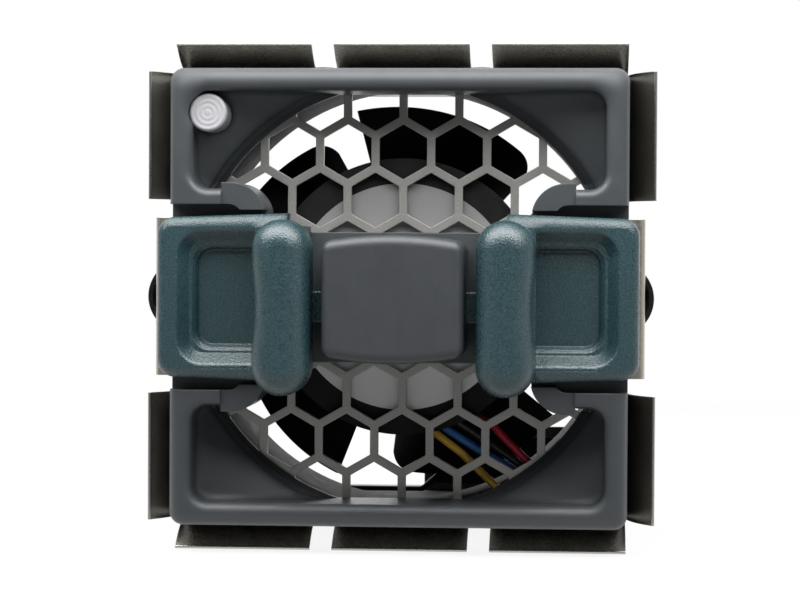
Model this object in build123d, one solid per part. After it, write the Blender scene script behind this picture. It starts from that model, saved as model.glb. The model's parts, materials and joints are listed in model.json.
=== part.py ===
from build123d import *
import os
from math import atan2, cos, radians, sin, sqrt, tan

# Switch fan tray: X to the right, Y into the tray, Z up, millimetres.
# Y = 0 is the back of the bezel and the front of the grille, on the fan axis.

# Fan, the standard size that the tray is made around
FAN = 80.0
FAN_DEPTH = 38.0
FAN_HOLE_SPACING = 71.5
FAN_CORNER = 3.0
FLANGE = 4.0
DUCT_WALL = 1.0
DUCT_MARGIN = 0.2
DUCT_R = FAN / 2 - DUCT_WALL - DUCT_MARGIN
INLET_FLARE = 2.2
INLET_DEPTH = 16.0

# Sleeve around the fan
SHEET = 0.8
FAN_ROOM = 0.2
SLEEVE_REAR = 62.0
SLEEVE_CORNER = 1.2
FACE = FAN + 2 * FAN_ROOM + 2 * SHEET
SLEEVE_IN = FACE - 2 * SHEET

# Bezel
FACE_CORNER = 2.5
RIM_DEPTH = 14.0
EAR_DEPTH = 13.2
SEAT_DEPTH = 6.2
FLOOR_DEPTH = 9.0
PLUG_PLAY = 0.1
RIM_SIDE = 4.1
RIM_BAR = 4.1
RIM_OUTER_ROUND = 2.5
RIM_INNER_ROUND = 1.5
WINDOW_CORNER = 3.0
EAR_INNER = 23.7
EAR_TALL = 41.0
EAR_CORNER = 6.2
EAR_WALL = 4.1
BEAM_TALL = 23.4
NOTCH_TALL = 33.2
NOTCH_CORNER = 2.5
RIDGE_REACH = 31.6
RIDGE_TALL = 38.8
SKIN = 2.2
Y_RIM = -RIM_DEPTH
Y_EAR = -EAR_DEPTH
Y_SEAT = -SEAT_DEPTH
Y_FLOOR = -FLOOR_DEPTH
WINDOW_WIDE = FACE - 2 * RIM_SIDE
WINDOW_TALL = FACE - 2 * RIM_BAR

# Funnel between the window and the fan duct
FUNNEL_STEPS = ((38.7, 1.0), (39.6, 2.1), (40.4, 3.4))
FUNNEL_MID = (45.0, -5.8)
FUNNEL_FAR = (54.0, -8.0)

# Grille
GRILLE_THICK = 1.0
HEX_PITCH = 10.2
HEX_STRUT = 1.5
HEX_FIELD = 40.0
HEX_MARGIN = 1.6
SMALLEST_CELL = 8.0
Y_FAN = GRILLE_THICK
Y_FAN_REAR = Y_FAN + FAN_DEPTH

# Latches
TRAVEL = 2.0
SLIDE_GAP = 0.3
BAR_INNER = 14.4
BAR_WIDE = 10.3
BAR_TALL = 30.8
BAR_FRONT = 28.0
BAR_BACK = 17.4
BAR_ROUND = 4.4
BAR_UNDER_ROUND = 2.2
BAR_WAIST = 0.5
BAR_WAIST_TALL = 14.0
BAR_WAIST_EASE = 12.0
STEM_SETBACK = 1.5
STEM_TALL = 27.0
DROP = 1.6
LEG_CLEAR = 0.2
GRIP_SETBACK = 1.1
GRIP_TALL_OUT = 28.4
GRIP_TALL_IN = 30.0
GRIP_CORNER = 3.2
GRIP_FRONT = 15.6
GRIP_ROUND = 1.7
POCKET_EDGE = 3.6
POCKET_TALL = 24.0
POCKET_CORNER = 4.6
POCKET_LEDGE = 13.4
POCKET_TAPER = 42.0
POCKET_LIP = 0.9
WELL_INSET = 2.5
WELL_BEVEL = 0.6
WELL_TAPER = 16.0
POCKET_FLOOR = 11.4
UNDERCUT = 3.6
UNDERCUT_FRONT = 17.5
TONGUE_TALL = 5.4
TONGUE_THICK = 4.0
TEE_TALL = 9.2
TEE_THICK = 1.6
GATE_ABOVE = 4.6
LEG_REAR = 8.0
LEG_BEND = 1.2
HOOK_LOW = 12.2
HOOK_HIGH = 14.0
HOOK_REACH = 0.05
HOOK_PLAY = 0.3
CATCH_CHORD = 8.7
CATCH_HIGH = 1.6
CATCH_FRONT = -8.0
PLATE_INNER = 27.0
LEG_OUTER = FACE / 2 + TRAVEL + LEG_CLEAR + SHEET
GRIP_OUTER = LEG_OUTER - GRIP_SETBACK
POCKET_OUTER = GRIP_OUTER - POCKET_EDGE
BAR_MID = BAR_INNER + BAR_WIDE / 2
Y_SLIDE = Y_FLOOR - SLIDE_GAP
PLATE_BACK = Y_FLOOR - 0.2
PLATE_FRONT = PLATE_BACK - SHEET

# Centre cover
COVER_WIDE = 24.6
COVER_TALL_MID = 22.4
COVER_TALL_END = 20.0
COVER_CORNER = 2.0
COVER_FRONT = 27.0
COVER_ROUND = 1.8
COVER_WALL = 1.7
CLIP_WIDE = 5.0
CLIP_THICK = 1.2
CLIP_HOOK = 0.6
CLIP_Z = 8.6
RIB_WIDE = 1.6

# Latch springs
SPRING_WIRE = 0.5
SPRING_R = 1.6
SPRING_TURNS = 4

# Status lens
LENS_X = -34.2
LENS_Z = 33.0
LENS_R = 3.4
LENS_FRONT = 12.4
LENS_SEAT = 4.2
STATUS_BOARD = 1.0
STATUS_LEAD_X = -34.2
STATUS_LEAD_Z = 31.0
STATUS_LEAD_R = 0.6

# Spring fingers
FINGER_SHEET = 0.3
FINGER_LIFT = 4.5
FINGER_TIP_Y = -5.6
FINGER_ROOT_Y = 7.0
FINGER_BAND = 8.0
FINGER_BEAD = 0.34
FINGER_WIDE = 24.6
FINGER_PITCH = 28.6
SIDE_FINGER_WIDE = 23.2
SIDE_FINGER_MID = 29.2

# Motor and rotor
BASE_R = 25.4
BASE_FRONT = 1.7
BASE_BACK = 4.6
BASE_SKIRT = 7.0
BASE_WALL = 1.6
LABEL_MARGIN = 4.6
LABEL_R = BASE_R - LABEL_MARGIN
LABEL_THICK = 0.15
STRUT_COUNT = 7
STRUT_FIRST = 118.9
STRUT_SWEEP = 25.0
STRUT_WIDE = 1.7
STRUT_PLAY = 0.02
STRUT_FRONT = 4.4
STRUT_BACK = 8.0
TUBE_R = 5.2
TUBE_END = 26.5
BEARING_R = 4.0
BEARING_WIDE = 4.0
BEARING_FRONT_Y = 8.2
BEARING_REAR_Y = 22.0
SHAFT_R = 1.5
SHAFT_PLAY = 0.05
SHAFT_FRONT = 6.9
BOARD_Y = 5.6
BOARD_THICK = 1.2
BOARD_GAP = 3.3
BOARD_R = BASE_R - BASE_WALL - BOARD_GAP
POST_R = 1.2
POST_CIRCLE = 13.5
CORE_R = 19.9
CORE_HUB_R = 8.5
CORE_PLAY = 0.05
POLE_WIDE = 4.0
SHOE_THICK = 2.4
SHOE_WIDE = 16.0
COIL_THICK = 1.6
COIL_GAP = 0.8
CORE_FRONT = 12.0
CORE_BACK = 23.0
POLES = 6
MAGNET_IN = 20.4
MAGNET_OUT = 22.0
CUP_OUT = 23.0
CUP_FRONT = 9.5
CUP_BACK = 31.0
HUB_R = 24.5
HUB_FRONT = 8.6
HUB_BACK = 33.0
HUB_ROUND = 1.5
BLADES = 5
BLADE_FIRST = 76.0
TIP_GAP = 3.0
TIP_TAPER = 1.2
TIP_R = DUCT_R - TIP_GAP
TIP_CORNER = 5.0
BLADE_MID_Y = 21.8
BLADE_HALF_DEPTH = 11.6
BLADE_HALF_TURN = 29.0
BLADE_THICK = 1.5
BLADE_CAMBER = 1.8

# Leads and rear connector
LEAD_R = 0.72
LEAD_Y = 3.1
LEAD_BEND = 1.9
LEAD_CORNER = (24.0, -38.3)
LEAD_CORNER_STEP = (1.45, 1.55)
LEAD_REAR_Y = 44.5
LEAD_SLOT = (14.0, 32.5)
LEAD_EXIT = (3.6, 16.8)
LEAD_EXIT_DEEP = 10.8
LEAD_START_R = BASE_R - 5.9
# Per lead: colour, its place on the motor board in degrees, its bends in front view
LEAD_ROUTES = (
    ("yellow", -76.0, ((5.3, -24.6), (11.0, -28.9), (17.2, -34.9))),
    ("blue", -69.5, ((7.5, -24.0), (14.3, -28.3), (20.5, -31.8))),
    ("black", -62.5, ((10.2, -23.0), (16.2, -27.0), (20.6, -30.0))),
    ("red", -54.5, ((13.0, -21.6), (16.5, -23.6), (19.4, -26.6), (22.6, -29.8))),
)
CONNECTOR_X = 16.0
CONNECTOR_Z = -34.0
CONNECTOR_WIDE = 24.0
CONNECTOR_TALL = 7.0
CONNECTOR_FRONT = 50.0
CONNECTOR_REAR = 66.0
CONTACTS = 6
CONTACT_PITCH = 3.6
CONTACT_R = 0.5
BRACKET_Y = 52.0
BRACKET_WIDE = 30.0
BRACKET_TALL = 13.0
BRACKET_FOOT = 9.0

# Screws
FAN_SCREW_R = 1.9
FAN_SCREW_HEAD_R = 3.4
FAN_SCREW_HEAD = 2.4
FAN_SCREW_TIP = -3.2
SIDE_SCREW_X = 14.3
SIDE_SCREW_Y = -3.1
SIDE_SCREW_R = 1.0
SIDE_SCREW_HEAD_R = 1.8
SIDE_SCREW_HEAD = 0.6
SIDE_SCREW_GRIP = 2.4
PLATE_SCREW_X = 33.0
PLATE_SCREW_Z = 11.9
PLATE_SCREW_R = 1.1
PLATE_SCREW_HEAD_R = 1.8
PLATE_SCREW_GRIP = 3.0
SCREW_PLAY = 0.1

SIDES = (-1, 1)


def front(y):
    """Plane facing the front at depth y, X to the right and Z up."""
    return Plane(origin=(0, y, 0), x_dir=(1, 0, 0), z_dir=(0, -1, 0))


def slab(sketch, y_front, y_back):
    """A sketch drawn in front view, as a solid between two depths."""
    return extrude(front(y_back) * sketch, amount=y_back - y_front)


def disc(radius, y_front, y_back, x=0, z=0):
    return slab(Pos(x, z) * Circle(radius), y_front, y_back)


def ring(outer, inner, y_front, y_back):
    return slab(Circle(outer) - Circle(inner), y_front, y_back)


def block(x_ends, y_ends, z_ends):
    size = [high - low for low, high in (x_ends, y_ends, z_ends)]
    middle = [(low + high) / 2 for low, high in (x_ends, y_ends, z_ends)]
    return Pos(*middle) * Box(*size)


def front_edges(solid, y):
    return solid.edges().filter_by_position(Axis.Y, y - 0.01, y + 0.01)


def left_of(solid):
    return mirror(solid, about=Plane.YZ)


def turned(solid, degrees):
    """Turned about the fan axis, anticlockwise as seen from the front."""
    return Rot(0, -degrees, 0) * solid


def fan_corners():
    half = FAN_HOLE_SPACING / 2
    return [(x * half, z * half) for x in SIDES for z in SIDES]


# Bezel


def funnel():
    """Air passage from the fan duct out to the corners of the window."""
    points = [(0, 1)]
    y = 1
    for radius, depth in FUNNEL_STEPS:
        points += [(radius, y), (radius, -depth)]
        y = -depth
    wall = Polyline(*points)
    flare = ThreePointArc(points[-1], FUNNEL_MID, FUNNEL_FAR)
    ahead = (FUNNEL_FAR[0], Y_RIM - 1)
    rest = Polyline(FUNNEL_FAR, ahead, (0, Y_RIM - 1), points[0])
    return revolve(make_face(wall + flare + rest), Axis.Y)


def beam_outline():
    """Beam across the middle, and the walls of the rim along the two notches."""
    outline = Rectangle(2 * EAR_INNER + 2, BEAM_TALL)
    for side in SIDES:
        place = Pos(side * (RIDGE_REACH + FACE / 2) / 2, 0)
        outline += place * Rectangle(FACE / 2 - RIDGE_REACH, RIDGE_TALL)
    return outline


def ear_outline():
    """Flat ear at each end of the beam, behind the grip."""
    ears = Sketch()
    for side in SIDES:
        middle = side * (EAR_INNER + RIDGE_REACH + EAR_CORNER) / 2
        ear = RectangleRounded(RIDGE_REACH + EAR_CORNER - EAR_INNER, EAR_TALL, EAR_CORNER)
        ears += Pos(middle, 0) * ear
    return ears & Rectangle(2 * RIDGE_REACH, EAR_TALL)


def latch_room():
    """Sunk outline that the two latches slide in: notches, ears' insides and beam."""
    reach = FACE / 2 + NOTCH_CORNER + 1
    inner = EAR_INNER + EAR_WALL
    notch = RectangleRounded(reach - inner, NOTCH_TALL, NOTCH_CORNER)
    outline = Rectangle(2 * inner + 2, GRIP_TALL_IN + 4 * SLIDE_GAP)
    for side in SIDES:
        outline += Pos(side * (reach + inner) / 2, 0) * notch
    return outline


def window_outline():
    return RectangleRounded(WINDOW_WIDE, WINDOW_TALL, WINDOW_CORNER)


def air_openings():
    """Openings above and below the beam, rounded where the rim meets the ridges."""
    outline = window_outline() - beam_outline()
    corners = [
        v
        for v in outline.vertices()
        if abs(abs(v.X) - WINDOW_WIDE / 2) < 0.01 and abs(abs(v.Y) - RIDGE_TALL / 2) < 0.01
    ]
    return fillet(corners, WINDOW_CORNER)


def bezel():
    frame = slab(RectangleRounded(FACE, FACE, FACE_CORNER), Y_RIM, Y_SEAT)
    frame = fillet(front_edges(frame, Y_RIM), RIM_OUTER_ROUND)
    plug_side = SLEEVE_IN - 2 * PLUG_PLAY
    frame += slab(RectangleRounded(plug_side, plug_side, SLEEVE_CORNER), Y_SEAT, 0)
    frame -= slab(air_openings(), Y_RIM - 1, 1) & funnel()
    inside = FACE / 2 - RIM_OUTER_ROUND - 0.1
    rim = [
        edge
        for edge in front_edges(frame, Y_RIM)
        if abs(edge.center().X) < inside
        and RIDGE_TALL / 2 - 0.1 < abs(edge.center().Z) < inside
    ]
    frame = fillet(rim, RIM_INNER_ROUND)
    frame -= slab(Rectangle(2 * RIDGE_REACH, BEAM_TALL + 1), Y_RIM - 1, Y_EAR)
    frame += slab(ear_outline(), Y_EAR, 0)
    frame -= slab(latch_room(), Y_RIM - 1, Y_FLOOR)
    hollow = offset((beam_outline() + ear_outline()) & window_outline(), -SKIN)
    frame -= slab(hollow, Y_FLOOR + SKIN, 1)
    frame -= disc(LENS_R + 0.05, Y_RIM, -LENS_SEAT, LENS_X, LENS_Z)
    frame -= disc(STATUS_LEAD_R + 0.2, Y_RIM / 2, 1, STATUS_LEAD_X, STATUS_LEAD_Z)
    for x, z in fan_corners():
        frame -= disc(FAN_SCREW_R + 0.03, FAN_SCREW_TIP - 0.2, 1, x, z)
    for x in SIDES:
        for z in SIDES:
            frame -= side_screw_shank(x, z, 0.03)
    for z in SIDES:
        slot_z = z * (CLIP_Z + CLIP_HOOK / 2)
        slot = Rectangle(CLIP_WIDE + 0.6, CLIP_THICK + CLIP_HOOK + 0.5)
        frame -= slab(Pos(0, slot_z) * slot, Y_FLOOR - 1, 1)
    rib = block(
        (-RIB_WIDE / 2, RIB_WIDE / 2),
        (Y_SLIDE - TONGUE_THICK, Y_FLOOR),
        (-DROP - TEE_TALL / 2, -DROP + TEE_TALL / 2),
    )
    return frame + rib


def cover_outline(inset):
    wide = COVER_WIDE / 2 - inset
    end = COVER_TALL_END / 2 - inset
    mid = COVER_TALL_MID / 2 - inset
    top = ThreePointArc((-wide, end), (0, mid), (wide, end))
    right = Line((wide, end), (wide, -end))
    bottom = ThreePointArc((wide, -end), (0, -mid), (-wide, -end))
    left = Line((-wide, -end), (-wide, end))
    face = make_face(top + right + bottom + left)
    return fillet(face.vertices(), COVER_CORNER - inset / 2)


def centre_cover():
    """Cap over the middle of the beam, with a gate for each tongue."""
    cap = slab(cover_outline(0), -COVER_FRONT, Y_FLOOR)
    cap = fillet(front_edges(cap, -COVER_FRONT), COVER_ROUND)
    cap -= slab(cover_outline(COVER_WALL), COVER_WALL - COVER_FRONT, Y_FLOOR)
    gate_z = (-DROP - TONGUE_TALL / 2 - SLIDE_GAP, -DROP + TONGUE_TALL / 2 + GATE_ABOVE)
    gate_y = (Y_SLIDE - TONGUE_THICK - SLIDE_GAP, Y_FLOOR)
    cap -= block((-COVER_WIDE, COVER_WIDE), gate_y, gate_z)
    under = Y_FLOOR + SKIN
    for z in SIDES:
        z_ends = sorted((z * (CLIP_Z - CLIP_THICK / 2), z * (CLIP_Z + CLIP_THICK / 2)))
        hook_z = sorted((z * CLIP_Z, z * (CLIP_Z + CLIP_THICK / 2 + CLIP_HOOK)))
        x_ends = (-CLIP_WIDE / 2, CLIP_WIDE / 2)
        cap += block(x_ends, (COVER_WALL - COVER_FRONT, under + 0.8), z_ends)
        cap += block(x_ends, (under, under + 0.8), hook_z)
    return cap


# Grille


def grille():
    cell_r = (HEX_PITCH - HEX_STRUT) / sqrt(3)
    row_pitch = HEX_PITCH * sqrt(3) / 2
    margin = FAN - 2 * HEX_MARGIN
    field = RegularPolygon(HEX_FIELD, 6, major_radius=False, rotation=0) & Rectangle(margin, margin)
    sheet = slab(RectangleRounded(FAN, FAN, FAN_CORNER), 0, GRILLE_THICK)
    cell = RegularPolygon(cell_r, 6, rotation=90)
    holes = []
    for row in range(-5, 6):
        shift = 0 if row % 2 else HEX_PITCH / 2
        for column in range(-5, 6):
            place = Pos(column * HEX_PITCH + shift, row * row_pitch)
            hole = (place * cell) & field
            if hole and sum(face.area for face in hole.faces()) > SMALLEST_CELL:
                holes.append(slab(hole, -1, GRILLE_THICK + 1))
    for x, z in fan_corners():
        holes.append(disc(FAN_SCREW_R + SCREW_PLAY, -1, GRILLE_THICK + 1, x, z))
    holes.append(disc(STATUS_LEAD_R + 0.2, -1, GRILLE_THICK + 1, STATUS_LEAD_X, STATUS_LEAD_Z))
    return sheet - holes


# Sleeve and spring fingers


def side_screw_shank(x, z, grow):
    """Shank of the screw that joins the sleeve and the bezel, along Z."""
    long = SHEET + SIDE_SCREW_GRIP
    place = Pos(x * SIDE_SCREW_X, SIDE_SCREW_Y, z * (FACE / 2 - long / 2))
    return place * Cylinder(SIDE_SCREW_R + grow, long)


def bezel_screws():
    screws = Part()
    for x in SIDES:
        for z in SIDES:
            place = Pos(x * SIDE_SCREW_X, SIDE_SCREW_Y, z * (FACE / 2 + SIDE_SCREW_HEAD / 2))
            screws += side_screw_shank(x, z, 0)
            screws += place * Cylinder(SIDE_SCREW_HEAD_R, SIDE_SCREW_HEAD)
    return screws


def foot_screw_places():
    reach = CONNECTOR_WIDE / 2 - 3
    y = BRACKET_Y + BRACKET_FOOT / 2 + 0.5
    return [(CONNECTOR_X + side * reach, y) for side in SIDES]


def housing():
    outside = RectangleRounded(FACE, FACE, SLEEVE_CORNER + SHEET)
    inside = RectangleRounded(SLEEVE_IN, SLEEVE_IN, SLEEVE_CORNER)
    sleeve = slab(outside - inside, Y_SEAT, SLEEVE_REAR)
    for x in SIDES:
        for z in SIDES:
            sleeve -= side_screw_shank(x, z, SCREW_PLAY)
    for x, y in foot_screw_places():
        sleeve -= Pos(x, y, -FACE / 2) * Cylinder(SIDE_SCREW_R + SCREW_PLAY, 4 * SHEET)
    for z in SIDES:
        slot_y = (LEG_REAR - SHEET - HOOK_PLAY, LEG_REAR + HOOK_PLAY)
        slot_z = sorted((z * (HOOK_LOW - HOOK_PLAY), z * (HOOK_HIGH + HOOK_PLAY)))
        sleeve -= block((-FACE, FACE), slot_y, slot_z)
    return sleeve


def finger_profile():
    """Section of a finger: band on the sleeve, flare to the front, rolled edge."""
    half = FINGER_SHEET / 2
    run = FINGER_ROOT_Y - FINGER_TIP_Y
    bend = (run**2 + FINGER_LIFT**2) / (2 * FINGER_LIFT)
    turn = atan2(FINGER_LIFT, run)
    root = (FINGER_ROOT_Y, half)
    tip = (FINGER_TIP_Y, half + FINGER_LIFT)
    mid = (FINGER_ROOT_Y - bend * sin(turn), half + bend * (1 - cos(turn)))
    line = Line((FINGER_ROOT_Y + FINGER_BAND, half), root) + ThreePointArc(root, mid, tip)
    return trace(line, FINGER_SHEET) + Pos(*tip) * Circle(FINGER_BEAD)


def finger_strip(middles, wide):
    """Fingers on the top face of the sleeve."""
    profile = finger_profile()
    strip = Part()
    for middle in middles:
        plane = Plane(origin=(middle - wide / 2, 0, FACE / 2), x_dir=(0, 1, 0), z_dir=(1, 0, 0))
        strip += extrude(plane * profile, amount=wide)
    return strip


def long_strip():
    middles = (-FINGER_PITCH, 0, FINGER_PITCH)
    strip = finger_strip(middles, FINGER_WIDE)
    half = FINGER_PITCH + FINGER_WIDE / 2
    y_ends = (FINGER_ROOT_Y, FINGER_ROOT_Y + FINGER_BAND)
    return strip + block((-half, half), y_ends, (FACE / 2, FACE / 2 + FINGER_SHEET))


def short_strips():
    return finger_strip((-SIDE_FINGER_MID, SIDE_FINGER_MID), SIDE_FINGER_WIDE)


# Status lens


def status_board():
    board = disc(LENS_R - 0.1, -LENS_SEAT - STATUS_BOARD, -LENS_SEAT, LENS_X, LENS_Z)
    top = -LENS_SEAT - STATUS_BOARD
    chip = block((LENS_X - 1, LENS_X + 1), (top - 0.8, top), (LENS_Z - 1, LENS_Z + 1))
    return board + chip


def light_pipe():
    seat = -LENS_SEAT - STATUS_BOARD
    lens = disc(LENS_R, -LENS_FRONT, seat, LENS_X, LENS_Z)
    lens = fillet(front_edges(lens, -LENS_FRONT), 0.5)
    return lens - disc(2, seat - 1.2, seat, LENS_X, LENS_Z)


# Fan


def strut():
    """Swept arm from the motor base to the duct."""
    inner = radians(-STRUT_SWEEP / 2)
    outer = radians(STRUT_SWEEP / 2)
    start = (BASE_R - 1.5, inner)
    end = (DUCT_R + DUCT_WALL / 2, outer)
    a, b = [(r * cos(turn), r * sin(turn)) for r, turn in (start, end)]
    arm = trace(Line(a, b), STRUT_WIDE) & Circle(DUCT_R - STRUT_PLAY)
    return slab(arm, STRUT_FRONT, STRUT_BACK)


def duct_space(grow):
    """Round passage of the fan, flared at the rear into the corners of the frame."""
    throat = DUCT_R + grow
    mouth = throat + INLET_FLARE
    neck_y = Y_FAN_REAR - INLET_DEPTH
    points = [(0, Y_FAN - 1), (throat, Y_FAN - 1), (throat, neck_y)]
    points += [(mouth, Y_FAN_REAR), (mouth, Y_FAN_REAR + 1), (0, Y_FAN_REAR + 1)]
    passage = revolve(make_face(Polyline(*points, close=True)), Axis.Y)
    side = 2 * (DUCT_R + DUCT_WALL / 2 + grow)
    return passage & slab(Rectangle(side, side), Y_FAN - 2, Y_FAN_REAR + 2)


def fan_frame():
    square = RectangleRounded(FAN, FAN, FAN_CORNER)
    frame = slab(square, Y_FAN, Y_FAN + FLANGE)
    frame += slab(square, Y_FAN_REAR - FLANGE, Y_FAN_REAR)
    frame += duct_space(DUCT_WALL) & slab(square, Y_FAN, Y_FAN_REAR)
    frame -= duct_space(0)
    for x, z in fan_corners():
        frame -= disc(FAN_SCREW_R + SCREW_PLAY, Y_FAN - 1, Y_FAN_REAR + 1, x, z)
    frame -= disc(STATUS_LEAD_R + 0.2, Y_FAN - 1, Y_FAN_REAR + 1, STATUS_LEAD_X, STATUS_LEAD_Z)
    slot_y = (Y_FAN - 1, LEAD_Y + LEAD_R + 0.3)
    frame -= block(LEAD_SLOT, slot_y, (-FAN / 2 - 1, -BASE_R - 0.6))
    corner_slot = lead_corner_slot()
    frame -= slab(corner_slot, Y_FAN - 1, Y_FAN + FLANGE + 1)
    return frame - slab(corner_slot, Y_FAN_REAR - FLANGE - 1, Y_FAN_REAR + 1)


def motor_base():
    """Base of the motor, held in the duct by its vanes."""
    base = disc(BASE_R, BASE_FRONT, BASE_BACK)
    base += ring(BASE_R, BASE_R - BASE_WALL, BASE_FRONT, BASE_SKIRT)
    base += ring(TUBE_R, BEARING_R, BASE_BACK, TUBE_END)
    for post in range(3):
        x, z = [POST_CIRCLE * f(radians(30 + 120 * post)) for f in (cos, sin)]
        base += disc(POST_R, BASE_BACK, BOARD_Y, x, z)
    for number in range(STRUT_COUNT):
        base += turned(strut(), STRUT_FIRST + number * 360 / STRUT_COUNT)
    exit_z = (-BASE_R, LEAD_EXIT_DEEP - BASE_R)
    return base - block(LEAD_EXIT, (BASE_FRONT + 0.5, BASE_BACK + 0.1), exit_z)


def lead_corner_slot():
    """Room for the row of leads through the corner of a fan flange."""
    near = Vector(LEAD_CORNER)
    far = near + Vector(LEAD_CORNER_STEP) * 3
    room = LEAD_R + 0.6
    slot = trace(Line(near, far), 2 * room)
    return slot + Pos(near) * Circle(room) + Pos(far) * Circle(room)


def fan_label():
    return disc(LABEL_R, BASE_FRONT - LABEL_THICK, BASE_FRONT)


def motor_board():
    return ring(BOARD_R, TUBE_R + 0.2, BOARD_Y, BOARD_Y + BOARD_THICK)


def pole_places():
    return [number * 360 / POLES for number in range(POLES)]


def stator_core():
    outline = Circle(CORE_HUB_R)
    pole = Pos(CORE_R / 2, 0) * Rectangle(CORE_R - SHOE_THICK / 2, POLE_WIDE)
    band = Circle(CORE_R) - Circle(CORE_R - SHOE_THICK)
    shoe = band & Pos(CORE_R, 0) * Rectangle(CORE_R, SHOE_WIDE)
    for turn in pole_places():
        outline += Rot(0, 0, turn) * (pole + shoe)
    return slab(outline - Circle(TUBE_R + CORE_PLAY), CORE_FRONT, CORE_BACK)


def stator_coils():
    x_ends = (CORE_HUB_R + COIL_GAP, CORE_R - SHOE_THICK - COIL_GAP)
    half = POLE_WIDE / 2
    y_ends = (CORE_FRONT - COIL_THICK, CORE_BACK + COIL_THICK)
    coil = block(x_ends, y_ends, (-half - COIL_THICK, half + COIL_THICK))
    coil -= block((0, CORE_R), (CORE_FRONT, CORE_BACK), (-half, half))
    coils = Part()
    for turn in pole_places():
        coils += turned(coil, turn)
    return coils


def bearing(y):
    return ring(BEARING_R, SHAFT_R + SHAFT_PLAY, y, y + BEARING_WIDE)


def shaft():
    bar = disc(SHAFT_R, SHAFT_FRONT, CUP_BACK - 1)
    return bar - ring(SHAFT_R + 1, SHAFT_R - 0.3, SHAFT_FRONT + 0.4, SHAFT_FRONT + 0.9)


def shaft_clip():
    return ring(2.7, SHAFT_R - 0.3, SHAFT_FRONT + 0.4, SHAFT_FRONT + 0.9)


def rotor_cup():
    cup = ring(CUP_OUT, MAGNET_OUT, CUP_FRONT, CUP_BACK)
    cup += disc(CUP_OUT, CUP_BACK - 1, CUP_BACK)
    return cup + ring(4, SHAFT_R, TUBE_END + 1, CUP_BACK - 1)


def magnet_ring():
    return ring(MAGNET_OUT, MAGNET_IN, CORE_FRONT - 1.5, CORE_BACK + 4)


def blade_section(reach, half_run, turn):
    """Cambered section of a blade in the plane square to its own radius."""
    angle = radians(turn)
    along = (cos(angle), 0, sin(angle))
    tangent = (-sin(angle), 0, cos(angle))
    plane = Plane(
        origin=(reach * along[0], BLADE_MID_Y, reach * along[2]), x_dir=tangent, z_dir=along
    )
    long = sqrt(half_run**2 + BLADE_HALF_DEPTH**2)
    normal = Vector(-BLADE_HALF_DEPTH / long, half_run / long)
    head = Vector(-half_run, -BLADE_HALF_DEPTH)
    tail = Vector(half_run, BLADE_HALF_DEPTH)
    edge = normal * 0.35
    crown = normal * (BLADE_CAMBER + BLADE_THICK / 2)
    belly = normal * (BLADE_CAMBER - BLADE_THICK / 2)
    upper = ThreePointArc(head + edge, crown, tail + edge)
    lower = ThreePointArc(tail - edge, belly, head - edge)
    close = Line(tail + edge, tail - edge) + Line(head - edge, head + edge)
    return plane * make_face(upper + lower + close)


def blade_span():
    """Ring that the blades end in, with its rear corner rounded off."""
    inner = HUB_R - 0.8
    start = (inner, HUB_FRONT)
    top = (TIP_R, HUB_FRONT)
    turn = (TIP_R - TIP_TAPER, BLADE_MID_Y + BLADE_HALF_DEPTH - TIP_CORNER)
    end = (TIP_R - TIP_TAPER - TIP_CORNER, BLADE_MID_Y + BLADE_HALF_DEPTH)
    edge = RadiusArc(turn, end, -TIP_CORNER)
    back = Polyline(end, (inner, BLADE_MID_Y + BLADE_HALF_DEPTH), start, top, turn)
    return revolve(make_face(edge + back), Axis.Y)


def blade():
    half = tan(radians(BLADE_HALF_TURN))
    sections = []
    for reach in (HUB_R - 6, (HUB_R + TIP_R) / 2, TIP_R + 2):
        sections.append(blade_section(reach, reach * half, 0))
    return loft(sections) & blade_span()


def impeller():
    hub = disc(HUB_R, HUB_FRONT, HUB_BACK)
    hub = fillet(front_edges(hub, HUB_BACK), HUB_ROUND)
    hub -= disc(CUP_OUT, HUB_FRONT - 1, CUP_BACK)
    one = blade()
    for number in range(BLADES):
        hub += turned(one, BLADE_FIRST + number * 360 / BLADES)
    return hub


# Leads and rear connector


def lead(points, radius):
    path = FilletPolyline(*points, radius=LEAD_BEND)
    start = Plane(origin=path @ 0, z_dir=path % 0)
    return sweep(start * Circle(radius), path=path)


def contact_x(number):
    return CONNECTOR_X + (number - (CONTACTS - 1) / 2) * CONTACT_PITCH


def fan_lead(number, turn, bends):
    """Lead from the motor board past the strut, down the corner, to the connector."""
    x, z = [start + number * step for start, step in zip(LEAD_CORNER, LEAD_CORNER_STEP)]
    contact = contact_x(number + 2)
    inner = [LEAD_START_R * f(radians(turn)) for f in (cos, sin)]
    points = [(inner[0], BOARD_Y, inner[1]), (inner[0], LEAD_Y, inner[1])]
    points += [(bend_x, LEAD_Y, bend_z) for bend_x, bend_z in bends]
    points += [
        (x, LEAD_Y, z),
        (x, LEAD_REAR_Y, z),
        (contact, LEAD_REAR_Y + 2.6, CONNECTOR_Z),
        (contact, CONNECTOR_FRONT, CONNECTOR_Z),
    ]
    return lead(points, LEAD_R)


def status_lead():
    wall_x = -SLEEVE_IN / 2 + STATUS_LEAD_R + 0.1
    wall_z = -SLEEVE_IN / 2 + STATUS_LEAD_R + 0.1
    contact = contact_x(0)
    points = [
        (STATUS_LEAD_X, -LENS_SEAT, STATUS_LEAD_Z),
        (STATUS_LEAD_X, LEAD_REAR_Y, STATUS_LEAD_Z),
        (wall_x, LEAD_REAR_Y + 1, STATUS_LEAD_Z - 6),
        (wall_x, LEAD_REAR_Y + 1, wall_z),
        (contact - 6, LEAD_REAR_Y + 1, wall_z),
        (contact, LEAD_REAR_Y + 2, CONNECTOR_Z),
        (contact, CONNECTOR_FRONT, CONNECTOR_Z),
    ]
    return lead(points, STATUS_LEAD_R)


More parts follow.
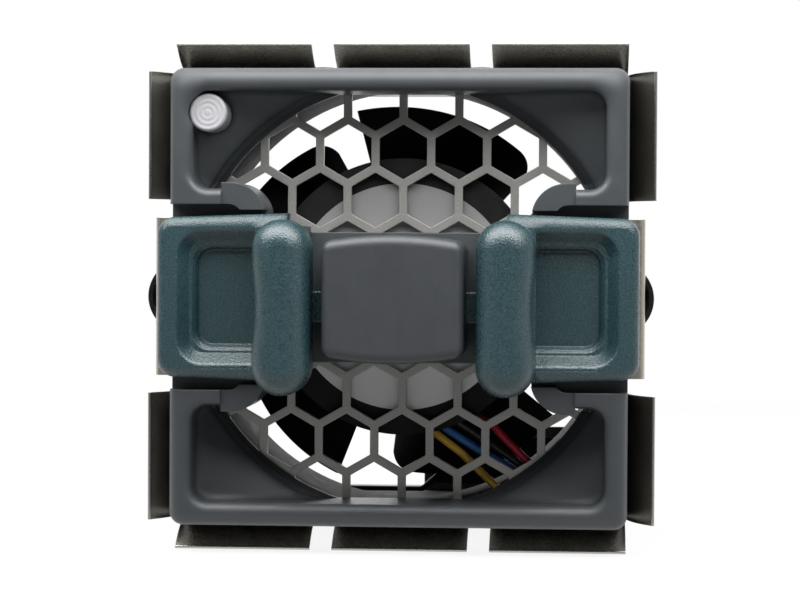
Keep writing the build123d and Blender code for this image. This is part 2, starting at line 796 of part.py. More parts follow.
def connector_box(grow, y_front, y_back):
    wide = CONNECTOR_WIDE + 2 * grow
    tall = CONNECTOR_TALL + 2 * grow
    return slab(Pos(CONNECTOR_X, CONNECTOR_Z) * RectangleRounded(wide, tall, 0.8), y_front, y_back)


def rear_connector():
    shell = connector_box(0, CONNECTOR_FRONT, CONNECTOR_REAR)
    shell += connector_box(1.2, CONNECTOR_FRONT, BRACKET_Y)
    shell -= connector_box(-1.2, CONNECTOR_REAR - 9, CONNECTOR_REAR)
    for number in range(CONTACTS):
        shell -= disc(CONTACT_R, BRACKET_Y, CONNECTOR_REAR, contact_x(number), CONNECTOR_Z)
    return shell


def connector_contacts():
    pins = Part()
    for number in range(CONTACTS):
        pins += disc(CONTACT_R, BRACKET_Y, CONNECTOR_REAR - 2, contact_x(number), CONNECTOR_Z)
    return pins


def connector_bracket():
    floor = -SLEEVE_IN / 2
    x_ends = (CONNECTOR_X - BRACKET_WIDE / 2, CONNECTOR_X + BRACKET_WIDE / 2)
    plate = block(x_ends, (BRACKET_Y, BRACKET_Y + SHEET), (floor, floor + BRACKET_TALL))
    plate += block(x_ends, (BRACKET_Y, BRACKET_Y + BRACKET_FOOT), (floor, floor + SHEET))
    plate -= connector_box(0.05, BRACKET_Y - 1, BRACKET_Y + 2)
    for x, y in foot_screw_places():
        plate -= Pos(x, y, floor) * Cylinder(SIDE_SCREW_R + 0.02, 4 * SHEET)
    return plate


def bracket_screws():
    screws = Part()
    for x, y in foot_screw_places():
        long = 2 * SHEET
        screws += Pos(x, y, -FACE / 2 + long / 2) * Cylinder(SIDE_SCREW_R, long)
        head = Pos(x, y, -FACE / 2 - SIDE_SCREW_HEAD / 2)
        screws += head * Cylinder(SIDE_SCREW_HEAD_R, SIDE_SCREW_HEAD)
    return screws


def fan_screws():
    screws = Part()
    for x, z in fan_corners():
        screws += disc(FAN_SCREW_R, FAN_SCREW_TIP, Y_FAN_REAR, x, z)
        head = disc(FAN_SCREW_HEAD_R, Y_FAN_REAR, Y_FAN_REAR + FAN_SCREW_HEAD, x, z)
        screws += head
    return screws


# Latches, made for the right side and mirrored


def grip_tray():
    """Dished part of the grip, with its finger pocket."""
    outer = GRIP_TALL_OUT / 2
    inner = GRIP_TALL_IN / 2
    corners = [(BAR_MID, -inner), (GRIP_OUTER, -outer), (GRIP_OUTER, outer), (BAR_MID, inner)]
    outline = make_face(Polyline(*corners, close=True))
    far = [v for v in outline.vertices() if v.X > GRIP_OUTER - 0.1]
    tray = slab(fillet(far, GRIP_CORNER), -GRIP_FRONT, PLATE_FRONT)
    inside = BAR_MID + 0.1
    rim = [edge for edge in front_edges(tray, -GRIP_FRONT) if edge.center().X > inside]
    tray = fillet(rim, GRIP_ROUND)
    tray -= pocket_step(GRIP_FRONT, POCKET_LEDGE, 0, POCKET_TAPER)
    lip = [
        edge
        for edge in front_edges(tray, -GRIP_FRONT)
        if inside < edge.center().X < POCKET_OUTER + 0.05
        and abs(edge.center().Z) < POCKET_TALL / 2 + 0.05
    ]
    tray = fillet(lip, POCKET_LIP)
    tray -= pocket_step(POCKET_LEDGE, POCKET_LEDGE - WELL_BEVEL, WELL_INSET, 45)
    bottom = WELL_INSET + WELL_BEVEL
    return tray - pocket_step(POCKET_LEDGE - WELL_BEVEL, POCKET_FLOOR, bottom, WELL_TAPER)


def pocket_step(y_front, y_back, inset, taper):
    """One step of the finger pocket, narrowing from its front to its back."""
    plane = Plane(origin=(0, -y_front, 0), x_dir=(1, 0, 0), z_dir=(0, 1, 0))
    wide = POCKET_OUTER - BAR_MID - inset
    corner = POCKET_CORNER - inset / 2
    mouth = RectangleRounded(wide, POCKET_TALL - 2 * inset, corner)
    place = plane * Pos(BAR_MID + wide / 2, 0)
    return extrude(place * mouth, amount=y_front - y_back, taper=taper)


def pull_bar():
    """Rounded bar that stands over the inner end of the grip."""
    outline = SlotOverall(BAR_TALL, BAR_WIDE, rotation=90)
    waist_r = ((BAR_WAIST_TALL / 2) ** 2 + BAR_WAIST**2) / (2 * BAR_WAIST)
    outline -= Pos(BAR_WIDE / 2 + waist_r - BAR_WAIST, 0) * Circle(waist_r)
    ends = [
        v
        for v in outline.vertices()
        if v.X > BAR_WIDE / 2 - 0.01 and abs(v.Y) < BAR_WAIST_TALL / 2 + 0.01
    ]
    outline = fillet(ends, BAR_WAIST_EASE)
    bar = slab(Pos(BAR_MID, -DROP) * outline, -BAR_FRONT, -BAR_BACK)
    bar = fillet(front_edges(bar, -BAR_FRONT), BAR_ROUND)
    return fillet(front_edges(bar, -BAR_BACK), BAR_UNDER_ROUND)


def grip():
    stem_x = (BAR_INNER + STEM_SETBACK, BAR_INNER + BAR_WIDE)
    half = STEM_TALL / 2
    stem = block(stem_x, (-BAR_BACK - BAR_UNDER_ROUND, Y_SLIDE), (-half - DROP / 2, half - DROP / 2))
    solid = pull_bar() + stem + grip_tray()
    hook = BAR_INNER + BAR_WIDE - UNDERCUT
    floor_half = POCKET_TALL / 2 - WELL_INSET - 1
    under = block(
        (hook, BAR_INNER + BAR_WIDE + 1.5),
        (-UNDERCUT_FRONT, -POCKET_FLOOR),
        (-floor_half, floor_half),
    )
    solid -= under
    y_ends = (Y_SLIDE - TONGUE_THICK, Y_SLIDE)
    tee_out = COVER_WIDE / 2 - COVER_WALL - 0.2
    for x_ends, tall in (
        ((tee_out - 0.5, BAR_MID), TONGUE_TALL),
        ((tee_out - TEE_THICK, tee_out), TEE_TALL),
    ):
        solid += block(x_ends, y_ends, (-DROP - tall / 2, -DROP + tall / 2))
    for z in SIDES:
        tip = PLATE_FRONT - PLATE_SCREW_GRIP
        solid -= disc(PLATE_SCREW_R + 0.02, tip, Y_FLOOR, PLATE_SCREW_X, z * PLATE_SCREW_Z)
    return solid


def catch_sphere(inset):
    rise = CATCH_CHORD / 2
    radius = (rise**2 + CATCH_HIGH**2) / (2 * CATCH_HIGH)
    ball = Pos(LEG_OUTER + CATCH_HIGH - radius, CATCH_FRONT, 0) * Sphere(radius - inset)
    reach = 2 * radius
    half = block((LEG_OUTER - SHEET, LEG_OUTER + reach), (CATCH_FRONT, reach), (-reach, reach))
    return ball & half


def latch_plate():
    """Folded plate behind the grip: catch on its side leg, hooks into the sleeve."""
    tall = GRIP_TALL_OUT / 2
    plate = block((PLATE_INNER, LEG_OUTER), (PLATE_FRONT, PLATE_BACK), (-tall, tall))
    plate += block((LEG_OUTER - SHEET, LEG_OUTER), (PLATE_FRONT, LEG_REAR), (-tall, tall))
    bend = [
        edge
        for edge in front_edges(plate, PLATE_FRONT)
        if abs(edge.center().X - LEG_OUTER) < 0.01
    ]
    plate = fillet(bend, LEG_BEND)
    plate = plate - catch_sphere(0) + (catch_sphere(0) - catch_sphere(SHEET))
    hook_x = (FACE / 2 - SHEET - HOOK_REACH, LEG_OUTER)
    for z in SIDES:
        hook_z = sorted((z * HOOK_LOW, z * HOOK_HIGH))
        plate += block(hook_x, (LEG_REAR - SHEET, LEG_REAR), hook_z)
        plate -= plate_screw_head(z)
        shank = disc(PLATE_SCREW_R + 0.02, PLATE_FRONT - 1, Y_FLOOR, PLATE_SCREW_X, z * PLATE_SCREW_Z)
        plate -= shank
    return plate


def plate_screw_head(z):
    """Countersunk head, flush with the back of the plate."""
    place = Pos(PLATE_SCREW_X, (PLATE_FRONT + PLATE_BACK) / 2, z * PLATE_SCREW_Z)
    return place * Rot(-90, 0, 0) * Cone(PLATE_SCREW_R, PLATE_SCREW_HEAD_R, SHEET)


def latch_screws():
    screws = Part()
    for z in SIDES:
        tip = PLATE_FRONT - PLATE_SCREW_GRIP + 0.2
        screws += plate_screw_head(z)
        screws += disc(PLATE_SCREW_R, tip, PLATE_FRONT, PLATE_SCREW_X, z * PLATE_SCREW_Z)
    return screws


def latch_spring():
    tee_in = COVER_WIDE / 2 - COVER_WALL - 0.2 - TEE_THICK
    long = tee_in - RIB_WIDE / 2 - SPRING_WIRE
    start = RIB_WIDE / 2 + SPRING_WIRE / 2
    middle = (start, Y_SLIDE - TONGUE_THICK / 2, -DROP)
    path = Helix(long / SPRING_TURNS, long, SPRING_R, center=middle, direction=(1, 0, 0))
    section = Plane(origin=path @ 0, z_dir=path % 0) * Circle(SPRING_WIRE / 2)
    return sweep(section, path=path, is_frenet=True)


def main():
    right_grip = grip()
    right_plate = latch_plate()
    right_screws = latch_screws()
    right_spring = latch_spring()
    top_strip = long_strip()
    side_strip = short_strips()
    nodes = {
        "bezel": bezel(),
        "centre_cover": centre_cover(),
        "grille": grille(),
        "housing": housing(),
        "bezel_screws": bezel_screws(),
        "spring_fingers_top": top_strip,
        "spring_fingers_bottom": turned(top_strip, 180),
        "spring_fingers_left": turned(side_strip, 90),
        "spring_fingers_right": turned(side_strip, -90),
        "light_pipe": light_pipe(),
        "status_board": status_board(),
        "status_lead": status_lead(),
        "fan_frame": fan_frame(),
        "motor_base": motor_base(),
        "fan_label": fan_label(),
        "fan_screws": fan_screws(),
        "motor_board": motor_board(),
        "stator_core": stator_core(),
        "stator_coils": stator_coils(),
        "bearing_front": bearing(BEARING_FRONT_Y),
        "bearing_rear": bearing(BEARING_REAR_Y),
        "impeller": impeller(),
        "rotor_cup": rotor_cup(),
        "magnet_ring": magnet_ring(),
        "shaft": shaft(),
        "shaft_clip": shaft_clip(),
        "rear_connector": rear_connector(),
        "connector_contacts": connector_contacts(),
        "connector_bracket": connector_bracket(),
        "bracket_screws": bracket_screws(),
        "grip_right": right_grip,
        "grip_left": left_of(right_grip),
        "latch_plate_right": right_plate,
        "latch_plate_left": left_of(right_plate),
        "latch_screws_right": right_screws,
        "latch_screws_left": left_of(right_screws),
        "latch_spring_right": right_spring,
        "latch_spring_left": left_of(right_spring),
    }
    for number, (colour, turn, bends) in enumerate(LEAD_ROUTES):
        nodes[f"lead_{colour}"] = fan_lead(number, turn, bends)
    os.makedirs("parts", exist_ok=True)
    for name, solid in nodes.items():
        export_step(solid, f"parts/{name}.step")


main()
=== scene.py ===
import json
import math

import bpy
from mathutils import Matrix, Vector


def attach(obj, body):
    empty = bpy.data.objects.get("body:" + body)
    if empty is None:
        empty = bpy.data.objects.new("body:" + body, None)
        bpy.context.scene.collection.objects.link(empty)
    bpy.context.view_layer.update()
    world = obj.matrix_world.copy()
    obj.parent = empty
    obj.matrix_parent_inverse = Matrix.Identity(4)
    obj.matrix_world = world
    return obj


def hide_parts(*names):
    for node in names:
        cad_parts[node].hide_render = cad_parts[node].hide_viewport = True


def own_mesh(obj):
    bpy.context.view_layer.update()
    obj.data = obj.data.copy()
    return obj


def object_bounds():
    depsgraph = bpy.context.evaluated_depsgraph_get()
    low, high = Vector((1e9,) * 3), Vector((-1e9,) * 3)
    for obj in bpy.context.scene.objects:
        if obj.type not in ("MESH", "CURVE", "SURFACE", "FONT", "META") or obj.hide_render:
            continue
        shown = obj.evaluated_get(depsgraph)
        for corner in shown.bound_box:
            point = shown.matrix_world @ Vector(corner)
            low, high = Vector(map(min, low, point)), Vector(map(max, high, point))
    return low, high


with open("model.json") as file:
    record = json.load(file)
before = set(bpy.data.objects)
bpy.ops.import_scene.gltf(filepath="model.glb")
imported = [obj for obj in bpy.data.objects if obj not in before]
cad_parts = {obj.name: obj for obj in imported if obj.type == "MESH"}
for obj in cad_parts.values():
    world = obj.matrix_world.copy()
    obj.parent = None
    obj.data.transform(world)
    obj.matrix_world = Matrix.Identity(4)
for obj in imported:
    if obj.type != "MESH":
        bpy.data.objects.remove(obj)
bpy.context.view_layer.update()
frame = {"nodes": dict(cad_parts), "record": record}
MM = 0.001

# Camera, in millimetres of the row frame
RIM_Y = -14.0
CAMERA_DISTANCE = 450.0
CAMERA_RIGHT = 33.0
CAMERA_UP = 9.0
CAMERA_CLIP = 10.0
AIM = (0.55, RIM_Y, -0.3)
PIXELS_PER_MM = 5.65
IMAGE_WIDTH = 800
SENSOR = 36.0
ROLL_DEGREES = 0.3

# Lamps: place and size in millimetres, watts, and the point that each is turned to
CENTRE = (0, 0, 0)
LAMPS = (
    ("top", (0, 40, 420), (1000, 900), 3.6, CENTRE),
    ("key", (-10, -90, 140), (420, 140), 0.9, (0, RIM_Y, 10)),
    ("back", (60, 320, 160), (600, 400), 0.45, CENTRE),
    ("left", (-420, -160, 120), (260, 360), 0.06, CENTRE),
    ("right", (420, -160, 120), (260, 360), 0.14, CENTRE),
)

# World: strengths, and the parts of a direction, from -1 to 1, between which they change
SEEN_WHITE = 1.0
AMBIENT = 0.06
TENT_WHITE = 1.0
TENT_FRONT = 0.06
TENT_DARK_FROM = 0.0
TENT_DARK_TO = 0.6
TENT_HIGH = 0.25
TENT_HIGH_FROM = 0.3
TENT_HIGH_TO = 0.8

# Floor: sizes in millimetres, and its share of plain white near the object
FLOOR_HALF = 1500.0
FLOOR_NEAR = 200.0
FLOOR_FAR = 500.0
FLOOR_DARK_FROM = -32.0
FLOOR_DARK_TO = -22.0
FLOOR_SHARE = 0.88
FLOOR_PALE = 0.9
FLOOR_BOUNCE = 0.22

# Places that a material changes at and radii that edges look rounded by, in millimetres
CATCH_FROM = 44.05
LENS_PLACE = (-34.2, 33.0)
LENS_RING = 0.9
EAR_TOP = 20.6
EAR_SOFT = 0.3
RIM_SOFT = 2.2
CORNER_FROM = 33.0
CORNER_TO = 38.0
CORNER_SOFT = 6.0
POCKET_TOP = 12.6
POCKET_SOFT = 0.4
TRAY_SOFT = 2.8
# Half-height over which the label's painted shade and painted light change
LABEL_SHADE_HALF = 14.0

# Textures: noise mostly keeps within its low and high, and depth and grain are in millimetres
NOISE_LOW = 0.3
NOISE_HIGH = 0.7
BEVEL_SAMPLES = 6
METAL_DEPTH = 0.008
METAL_SMOOTHER = 0.06
METAL_ROUGHER = 0.08
CLOUD_GRAIN = 3.0
CLOUD_GAIN = 1.25
CLOUD_LIFT = 0.002
PLASTIC_SPREAD = 0.05

# Metals: the two screen colours of 0 to 255 that each varies between, grain and edge in millimetres
METALS = {
    "plated_steel": {
        "dark": (168, 167, 163), "light": (186, 185, 181), "roughness": 0.35,
        "grain": 0.3, "edge": 0.26, "metallic": 0.5,
    },
    "sleeve_steel": {
        "dark": (132, 132, 130), "light": (148, 148, 146), "roughness": 0.38,
        "grain": 2.5, "edge": 0.2,
    },
    "spring_steel": {
        "dark": (174, 171, 165), "light": (190, 187, 180), "roughness": 0.26,
        "grain": 0.3, "stretch": (1, 12, 12), "edge": 0.12,
    },
    "screw_steel": {"dark": (150, 150, 150), "light": (172, 172, 170), "roughness": 0.3},
    "bearing_steel": {"dark": (190, 190, 190), "light": (205, 205, 205), "roughness": 0.2},
    "core_steel": {
        "dark": (120, 120, 122), "light": (138, 138, 140), "roughness": 0.4,
        "grain": 0.3, "stretch": (1, 8, 1),
    },
    "copper": {
        "dark": (196, 118, 62), "light": (216, 140, 84), "roughness": 0.3,
        "grain": 0.2, "stretch": (8, 1, 8),
    },
    "contact_brass": {"dark": (214, 184, 110), "light": (226, 200, 130), "roughness": 0.25},
}

# Plain mouldings: a screen colour of 0 to 255, grain, depth and edge in millimetres
MOULDED = {
    "magnet": {"colour": (30, 30, 32), "roughness": 0.6},
    "board": {"colour": (24, 88, 54), "roughness": 0.35},
    "fan_plastic": {
        "colour": (28, 28, 29), "roughness": 0.6,
        "grain": 0.4, "depth": 0.003, "edge": 0.3, "specular": 0.15,
    },
    "lead_yellow": {"colour": (222, 178, 66), "roughness": 0.35},
    "lead_blue": {"colour": (40, 100, 168), "roughness": 0.35},
    "lead_black": {"colour": (26, 26, 27), "roughness": 0.35},
    "lead_red": {"colour": (178, 24, 50), "roughness": 0.35},
    "connector_plastic": {"colour": (36, 36, 38), "roughness": 0.45},
}


# Node trees


def linear(red, green, blue):
    """Colour of 0 to 255 values on screen, as the shader takes it."""
    def one(value):
        v = value / 255
        return v / 12.92 if v <= 0.04045 else ((v + 0.055) / 1.055) ** 2.4
    return (one(red), one(green), one(blue), 1.0)


def grey(value):
    return (value, value, value, 1.0)


class Tree:
    """A node tree, with short calls for the nodes that the scene uses."""

    def __init__(self, tree):
        self.tree = tree

    def node(self, kind, **inputs):
        made = self.tree.nodes.new(kind)
        for name, value in inputs.items():
            made.inputs[name].default_value = value
        return made

    def join(self, output, target):
        self.tree.links.new(output, target)

    def ramp(self, value, low, high, to_low, to_high, curve="LINEAR"):
        """Value from low to high, spread over to_low to to_high."""
        ramp = self.node("ShaderNodeMapRange")
        ramp.interpolation_type = curve
        ends = {"From Min": low, "From Max": high, "To Min": to_low, "To Max": to_high}
        for name, number in ends.items():
            ramp.inputs[name].default_value = number
        self.join(value, ramp.inputs["Value"])
        return ramp.outputs["Result"]

    def math(self, operation, first, second=None):
        """Result of a math node on an output and a number or another output."""
        made = self.node("ShaderNodeMath")
        made.operation = operation
        self.join(first, made.inputs[0])
        if isinstance(second, (int, float)):
            made.inputs[1].default_value = second
        elif second is not None:
            self.join(second, made.inputs[1])
        return made.outputs["Value"]

    def part(self, vector, letter):
        """X, Y or Z of a vector."""
        split = self.node("ShaderNodeSeparateXYZ")
        self.join(vector, split.inputs["Vector"])
        return split.outputs[letter]

    def mix(self, share, first, second):
        """Shader that goes from first to second with share."""
        mix = self.node("ShaderNodeMixShader")
        self.join(share, mix.inputs["Fac"])
        self.join(first, mix.inputs[1])
        self.join(second, mix.inputs[2])
        return mix.outputs["Shader"]


class Shade(Tree):
    """A material with a principled shader and object coordinates to build on."""

    def __init__(self, name, colour, roughness, metallic=0.0, specular=0.5, edge=0.0):
        self.material = bpy.data.materials.new(name)
        self.material.use_nodes = True
        super().__init__(self.material.node_tree)
        self.shader = self.tree.nodes["Principled BSDF"]
        self.shader.inputs["Base Color"].default_value = colour
        self.shader.inputs["Roughness"].default_value = roughness
        self.shader.inputs["Metallic"].default_value = metallic
        self.shader.inputs["Specular IOR Level"].default_value = specular
        self.place = self.node("ShaderNodeTexCoord").outputs["Object"]
        self.normal = None
        if edge:
            self.round_edges(edge)

    def axis(self, letter):
        """X, Y or Z of the surface, in metres of the row frame."""
        return self.part(self.place, letter)

    def noise(self, grain, detail=2.0, stretch=(1, 1, 1)):
        """Noise whose lumps are about grain millimetres across."""
        mapping = self.node("ShaderNodeMapping", Scale=stretch)
        self.join(self.place, mapping.inputs["Vector"])
        noise = self.node("ShaderNodeTexNoise", Scale=1 / (grain * MM), Detail=detail)
        self.join(mapping.outputs["Vector"], noise.inputs["Vector"])
        return noise.outputs["Fac"]

    def contrast(self, value, low, high):
        """Value within the range of noise, spread over low to high."""
        return self.ramp(value, NOISE_LOW, NOISE_HIGH, low, high)

    def set_normal(self, normal):
        self.normal = normal
        self.join(normal, self.shader.inputs["Normal"])

    def round_edges(self, radius):
        """Sharp edges catch the light as if rounded by radius millimetres, or an output in metres."""
        bevel = self.node("ShaderNodeBevel")
        bevel.samples = BEVEL_SAMPLES
        if isinstance(radius, float):
            bevel.inputs["Radius"].default_value = radius * MM
        else:
            self.join(radius, bevel.inputs["Radius"])
        self.set_normal(bevel.outputs["Normal"])

    def bump(self, height, depth):
        """Raises the surface by height times depth millimetres, in shading."""
        bump = self.node("ShaderNodeBump", Strength=1.0, Distance=depth * MM)
        self.join(height, bump.inputs["Height"])
        if self.normal is not None:
            self.join(self.normal, bump.inputs["Normal"])
        self.set_normal(bump.outputs["Normal"])

    def rough(self, value, low, high):
        self.join(self.contrast(value, low, high), self.shader.inputs["Roughness"])

    def tint(self, value, dark, light):
        """Colour that goes from dark to light with value."""
        mix = self.node("ShaderNodeMix")
        mix.data_type = "RGBA"
        mix.inputs["A"].default_value = dark
        mix.inputs["B"].default_value = light
        self.join(self.contrast(value, 0, 1), mix.inputs["Factor"])
        self.join(mix.outputs["Result"], self.shader.inputs["Base Color"])


# Materials


def bezel_plastic():
    """Grey plastic, softly rounded at the rim and most at the upper corners."""
    shade = Shade("bezel_plastic", linear(67, 71, 74), roughness=0.4, specular=0.6)
    across = shade.math("ABSOLUTE", shade.axis("X"))
    up = shade.axis("Z")
    middle = shade.math("LESS_THAN", shade.math("ABSOLUTE", up), EAR_TOP * MM)
    plain = shade.ramp(middle, 0, 1, RIM_SOFT * MM, EAR_SOFT * MM)
    near = [shade.ramp(way, CORNER_FROM * MM, CORNER_TO * MM, 0, 1) for way in (across, up)]
    corner = shade.math("MULTIPLY", shade.math("MULTIPLY", *near), (CORNER_SOFT - RIM_SOFT) * MM)
    shade.round_edges(shade.math("ADD", plain, corner))
    shade.tint(shade.noise(grain=6.0), linear(65, 69, 72), linear(69, 73, 76))
    shade.rough(shade.noise(grain=1.2, detail=4), low=0.33, high=0.43)
    shade.bump(shade.noise(grain=0.16, detail=3), depth=0.012)
    return shade.material


def cover_plastic():
    shade = Shade("cover_plastic", linear(59, 62, 65), roughness=0.42, specular=0.7, edge=0.8)
    shade.tint(shade.noise(grain=5.0), linear(57, 60, 63), linear(61, 64, 67))
    shade.rough(shade.noise(grain=0.8, detail=4), low=0.38, high=0.48)
    shade.bump(shade.noise(grain=0.14, detail=3), depth=0.014)
    return shade.material


def grip_plastic():
    """Teal plastic with a spark texture, whose grains glint."""
    shade = Shade("grip_plastic", linear(39, 67, 72), roughness=0.3, specular=1.0)
    pocket = shade.math("LESS_THAN", shade.math("ABSOLUTE", shade.axis("Z")), POCKET_TOP * MM)
    shade.round_edges(shade.ramp(pocket, 0, 1, TRAY_SOFT * MM, POCKET_SOFT * MM))
    spark = shade.noise(grain=0.3)
    shade.tint(spark, linear(31, 56, 61), linear(46, 76, 81))
    shade.rough(spark, low=0.2, high=0.38)
    shade.bump(spark, depth=0.1)
    return shade.material


def latch_steel():
    """Plated sheet whose domed catch is capped in black."""
    shade = Shade("latch_steel", linear(196, 190, 178), roughness=0.34, metallic=1.0, edge=0.1)
    shade.rough(shade.noise(grain=1.0, detail=3), low=0.28, high=0.42)
    shade.bump(shade.noise(grain=0.2, detail=3), depth=METAL_DEPTH)
    across = shade.math("ABSOLUTE", shade.axis("X"))
    cap = shade.math("GREATER_THAN", across, CATCH_FROM * MM)
    cloudy = shade.contrast(shade.noise(grain=0.5, detail=4), low=0.0, high=0.4)
    shade.tint(shade.math("ADD", cap, cloudy), linear(206, 200, 188), linear(18, 18, 19))
    shade.join(shade.ramp(cap, 0, 1, 1, 0), shade.shader.inputs["Metallic"])
    return shade.material


def lens_plastic():
    """Frosted lens with fine turned rings."""
    shade = Shade("lens_plastic", linear(182, 181, 185), roughness=0.22, edge=0.3)
    aside = shade.math("SUBTRACT", shade.axis("X"), LENS_PLACE[0] * MM)
    above = shade.math("SUBTRACT", shade.axis("Z"), LENS_PLACE[1] * MM)
    squares = [shade.math("MULTIPLY", side, side) for side in (aside, above)]
    radius = shade.math("SQRT", shade.math("ADD", *squares))
    rings = shade.math("SINE", shade.math("MULTIPLY", radius, 2 * math.pi / (LENS_RING * MM)))
    shade.bump(rings, depth=0.03)
    shade.rough(shade.noise(grain=0.4, detail=3), low=0.16, high=0.3)
    return shade.material


def label_foil():
    """Silver label, darker above and lighter below, as painted shade and painted light."""
    shade = Shade("label_foil", linear(190, 191, 192), roughness=0.35, metallic=0.1)
    # Painted shade and light: the label's colour goes from dark at the top to light at the bottom
    painted_shade = shade.ramp(shade.axis("Z"), -LABEL_SHADE_HALF * MM, LABEL_SHADE_HALF * MM, NOISE_HIGH, NOISE_LOW)
    shade.tint(painted_shade, linear(152, 153, 152), linear(236, 237, 236))
    shade.rough(shade.noise(grain=1.2, detail=3), low=0.3, high=0.4)
    shade.bump(shade.noise(grain=0.2, detail=3), depth=0.001)
    return shade.material


def sheet_metal(name, dark, light, roughness, grain=0.5, stretch=(1, 1, 1), edge=0.0, metallic=1.0):
    """Metal with a grain in its colour, gloss and surface."""
    shade = Shade(name, linear(*dark), roughness, metallic=metallic, edge=edge)
    shade.tint(shade.noise(grain, 4, stretch), linear(*dark), linear(*light))
    shade.rough(shade.noise(grain * 2, 3, stretch), roughness - METAL_SMOOTHER, roughness + METAL_ROUGHER)
    shade.bump(shade.noise(grain * 0.4, 3, stretch), depth=METAL_DEPTH)
    return shade.material


def moulded(name, colour, roughness, grain=0.25, depth=0.006, edge=0.0, specular=0.5):
    """Plastic with a fine texture and slightly lighter clouds."""
    base = linear(*colour)
    lighter = tuple(min(1.0, c * CLOUD_GAIN + CLOUD_LIFT) for c in base[:3]) + (1.0,)
    shade = Shade(name, base, roughness, specular=specular, edge=edge)
    shade.tint(shade.noise(CLOUD_GRAIN), base, lighter)
    shade.rough(shade.noise(grain * 6, 3), roughness - PLASTIC_SPREAD, roughness + PLASTIC_SPREAD)
    shade.bump(shade.noise(grain, 3), depth)
    return shade.material


SLOTS = {
    "bezel_plastic": bezel_plastic(),
    "cover_plastic": cover_plastic(),
    "grip_plastic": grip_plastic(),
    "latch_steel": latch_steel(),
    "lens_plastic": lens_plastic(),
    "label_foil": label_foil(),
}
for name, look in METALS.items():
    SLOTS[name] = sheet_metal(name, **look)
for name, look in MOULDED.items():
    SLOTS[name] = moulded(name, **look)

for part in frame["record"]["subparts"]:
    node = frame["nodes"][part["node"]]
    node.data.materials.clear()
    node.data.materials.append(SLOTS[part["material_slot"]])


# Latch springs, copied onto the tray body; the real springs shorten as the grips slide in


def pressed_spring(side):
    """Copy of a latch spring that the grip presses towards the middle rib."""
    name = f"latch_spring_{side}"
    spring = bpy.data.objects.new(f"pressed_spring_{side}", frame["nodes"][name].data.copy())
    bpy.context.scene.collection.objects.link(spring)
    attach(spring, "tray")
    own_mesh(spring)
    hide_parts(name)


for side in ("left", "right"):
    pressed_spring(side)


# Camera, light and floor


def make_camera():
    data = bpy.data.cameras.new("camera")
    data.sensor_width = SENSOR
    data.lens = PIXELS_PER_MM * CAMERA_DISTANCE * SENSOR / IMAGE_WIDTH
    data.clip_start = CAMERA_CLIP * MM
    camera = bpy.data.objects.new("camera", data)
    camera.location = Vector((CAMERA_RIGHT, RIM_Y - CAMERA_DISTANCE, CAMERA_UP)) * MM
    ahead = Vector(AIM) * MM - camera.location
    camera.rotation_mode = "QUATERNION"
    turn = Matrix.Rotation(math.radians(ROLL_DEGREES), 3, "Z").to_quaternion()
    camera.rotation_quaternion = ahead.to_track_quat("-Z", "Y") @ turn
    bpy.context.scene.collection.objects.link(camera)
    bpy.context.scene.camera = camera


def area_lamp(name, place, size, watts, aim):
    """Oblong lamp, place and size in millimetres, turned to aim."""
    data = bpy.data.lights.new(name, "AREA")
    data.shape = "RECTANGLE"
    data.size = size[0] * MM
    data.size_y = size[1] * MM
    data.energy = watts
    lamp = bpy.data.objects.new(name, data)
    lamp.location = Vector(place) * MM
    lamp.rotation_mode = "QUATERNION"
    lamp.rotation_quaternion = (Vector(aim) * MM - lamp.location).to_track_quat("-Z", "Y")
    bpy.context.scene.collection.objects.link(lamp)


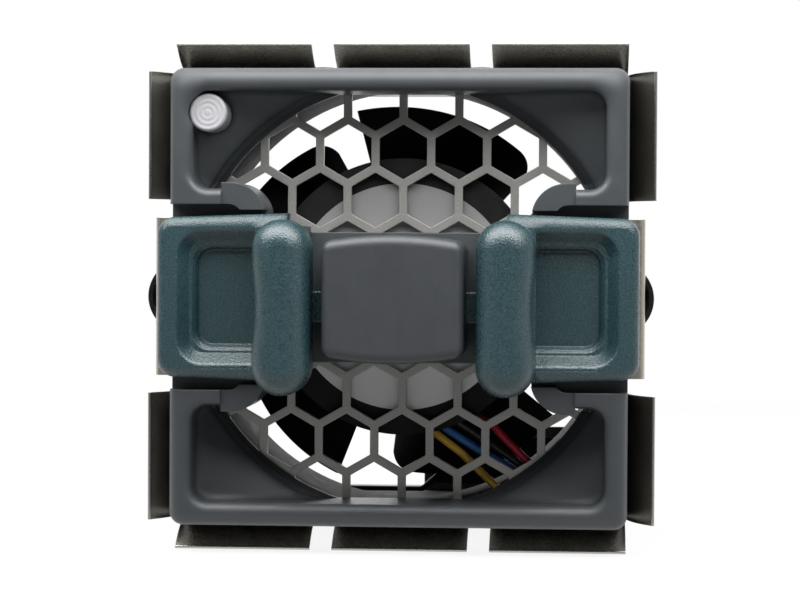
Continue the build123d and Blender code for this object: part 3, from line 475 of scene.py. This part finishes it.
def make_world():
    """White to the camera; gloss sees a pale tent with a dark front, dimmer above; the rest is soft."""
    world = bpy.data.worlds.new("studio")
    bpy.context.scene.world = world
    world.use_nodes = True
    world.node_tree.nodes.clear()
    tree = Tree(world.node_tree)
    rays = tree.node("ShaderNodeLightPath").outputs
    way = tree.node("ShaderNodeTexCoord").outputs["Generated"]
    back = tree.ramp(
        tree.part(way, "Y"), TENT_DARK_FROM, TENT_DARK_TO, TENT_FRONT, TENT_WHITE, "SMOOTHSTEP"
    )
    above = tree.ramp(tree.part(way, "Z"), TENT_HIGH_FROM, TENT_HIGH_TO, 1.0, TENT_HIGH, "SMOOTHSTEP")
    tent = tree.node("ShaderNodeBackground", Color=grey(1.0))
    tree.join(tree.math("MULTIPLY", back, above), tent.inputs["Strength"])
    white = tree.node("ShaderNodeBackground", Color=grey(1.0), Strength=SEEN_WHITE)
    soft = tree.node("ShaderNodeBackground", Color=grey(1.0), Strength=AMBIENT)
    lit = tree.mix(rays["Is Glossy Ray"], soft.outputs["Background"], tent.outputs["Background"])
    shown = tree.mix(rays["Is Camera Ray"], lit, white.outputs["Background"])
    tree.join(shown, tree.node("ShaderNodeOutputWorld").inputs["Surface"])


def floor_material():
    """Pale floor, white far off, with a weak bounce; gloss sees it dark in front of the object."""
    material = bpy.data.materials.new("floor")
    material.use_nodes = True
    material.node_tree.nodes.clear()
    tree = Tree(material.node_tree)
    rays = tree.node("ShaderNodeLightPath").outputs
    place = tree.node("ShaderNodeTexCoord").outputs["Object"]
    away = tree.node("ShaderNodeVectorMath")
    away.operation = "LENGTH"
    tree.join(place, away.inputs[0])
    share = tree.ramp(away.outputs["Value"], FLOOR_NEAR * MM, FLOOR_FAR * MM, FLOOR_SHARE, 1.0)
    pale = tree.node("ShaderNodeBsdfDiffuse", Color=grey(FLOOR_PALE))
    dull = tree.node("ShaderNodeBsdfDiffuse", Color=grey(FLOOR_BOUNCE))
    white = tree.node("ShaderNodeEmission")
    shown = tree.mix(share, pale.outputs["BSDF"], white.outputs["Emission"])
    behind = tree.ramp(
        tree.part(place, "Y"), FLOOR_DARK_FROM * MM, FLOOR_DARK_TO * MM, TENT_FRONT, 1.0
    )
    mirrored = tree.math("MULTIPLY", rays["Is Glossy Ray"], behind)
    seen = rays["Is Camera Ray"]
    for ray in (mirrored, rays["Is Transmission Ray"]):
        seen = tree.math("MAXIMUM", seen, ray)
    surface = tree.mix(seen, dull.outputs["BSDF"], shown)
    tree.join(surface, tree.node("ShaderNodeOutputMaterial").inputs["Surface"])
    return material


def make_floor():
    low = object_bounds()[0].z
    half = FLOOR_HALF * MM
    mesh = bpy.data.meshes.new("floor")
    corners = [(-half, -half, low), (half, -half, low), (half, half, low), (-half, half, low)]
    mesh.from_pydata(corners, [], [(0, 1, 2, 3)])
    mesh.materials.append(floor_material())
    floor = bpy.data.objects.new("floor", mesh)
    bpy.context.scene.collection.objects.link(floor)


make_camera()
make_world()
for lamp in LAMPS:
    area_lamp(*lamp)
make_floor()
bpy.context.scene.view_settings.view_transform = "Standard"
